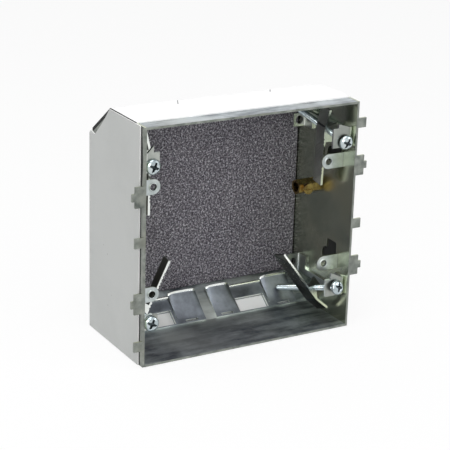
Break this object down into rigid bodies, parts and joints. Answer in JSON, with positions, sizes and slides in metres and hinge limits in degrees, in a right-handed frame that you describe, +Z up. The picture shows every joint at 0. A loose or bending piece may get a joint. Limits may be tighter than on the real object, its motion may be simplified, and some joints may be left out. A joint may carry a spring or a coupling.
{
  "type": "wall back box",
  "caption": "Square sheet-metal back box with sloped cable entries, swing clamps in the corners, device lugs, an earth pillar, a fire-resisting pad and bonded films.",
  "frame": {"origin": "centre of the four device screw holes, on the front faces of their lugs", "axes": "+X across the box to the right as seen from its open front, +Y from the open front towards the back wall, +Z up"},
  "size_m": [0.1106, 0.0509, 0.102],
  "materials": {
    "zinc_plate": "dull zinc plating",
    "clamp_plate": "dull zinc plating",
    "bracket_plate": "zinc plating",
    "wing_plate": "zinc plating with pressed ribs",
    "zinc_screw": "bright zinc plating",
    "brass": "machined",
    "brass_screw": "machined",
    "graphite_pad": "speckled, dull",
    "white_film": "satin",
    "grey_film": "satin"
  },
  "bodies": {
    "box": {"back_shell": "zinc_plate", "side_plate_right": "zinc_plate", "side_plate_left": "zinc_plate", "cable_clamp_bottom_left": "clamp_plate", "cable_clamp_bottom_right": "clamp_plate", "cable_clamp_top_left": "clamp_plate", "cable_clamp_top_right": "clamp_plate", "clamp_bracket_bottom_left": "bracket_plate", "clamp_bracket_bottom_right": "bracket_plate", "clamp_bracket_top_left": "bracket_plate", "clamp_bracket_top_right": "bracket_plate", "earth_pillar": "brass", "earth_screw": "brass_screw", "back_pad": "graphite_pad", "top_film": "white_film", "bottom_film": "white_film", "right_film": "grey_film", "left_film": "grey_film"},
    "screw_bottom_right": {"clamp_screw_bottom_right": "zinc_screw"},
    "wing_bottom_right": {"clamp_wing_bottom_right": "wing_plate"},
    "screw_top_right": {"clamp_screw_top_right": "zinc_screw"},
    "wing_top_right": {"clamp_wing_top_right": "wing_plate"},
    "screw_bottom_left": {"clamp_screw_bottom_left": "zinc_screw"},
    "wing_bottom_left": {"clamp_wing_bottom_left": "wing_plate"},
    "screw_top_left": {"clamp_screw_top_left": "zinc_screw"},
    "wing_top_left": {"clamp_wing_top_left": "wing_plate"}
  },
  "joints": [
    {"name": "screw_turn_bottom_right", "type": "hinge", "parent": "box", "child": "screw_bottom_right", "pos_m": [0.0437, -0.0056, -0.0325], "axis": [-0.2317, 0.9293, -0.2877], "continuous": true},
    {"name": "wing_swing_bottom_right", "type": "hinge", "parent": "box", "child": "wing_bottom_right", "pos_m": [0.0437, -0.0056, -0.0325], "axis": [-0.2317, 0.9293, -0.2877], "range_deg": [-12, 56]},
    {"name": "screw_turn_top_right", "type": "hinge", "parent": "box", "child": "screw_top_right", "pos_m": [0.0452, -0.0056, 0.033], "axis": [-0.0086, 0.9892, 0.1461], "continuous": true},
    {"name": "wing_swing_top_right", "type": "hinge", "parent": "box", "child": "wing_top_right", "pos_m": [0.0452, -0.0056, 0.033], "axis": [-0.0086, 0.9892, 0.1461], "range_deg": [-10, 12]},
    {"name": "screw_turn_bottom_left", "type": "hinge", "parent": "box", "child": "screw_bottom_left", "pos_m": [-0.0452, -0.0056, -0.0325], "axis": [0.1391, 0.9897, -0.0346], "continuous": true},
    {"name": "wing_swing_bottom_left", "type": "hinge", "parent": "box", "child": "wing_bottom_left", "pos_m": [-0.0452, -0.0056, -0.0325], "axis": [0.1391, 0.9897, -0.0346], "range_deg": [-40, 8]},
    {"name": "screw_turn_top_left", "type": "hinge", "parent": "box", "child": "screw_top_left", "pos_m": [-0.0452, -0.0056, 0.0337], "axis": [0, 0.9999, 0.014], "continuous": true},
    {"name": "wing_swing_top_left", "type": "hinge", "parent": "box", "child": "wing_top_left", "pos_m": [-0.0452, -0.0056, 0.0337], "axis": [0, 0.9999, 0.014], "range_deg": [-4, 14]}
  ]
}
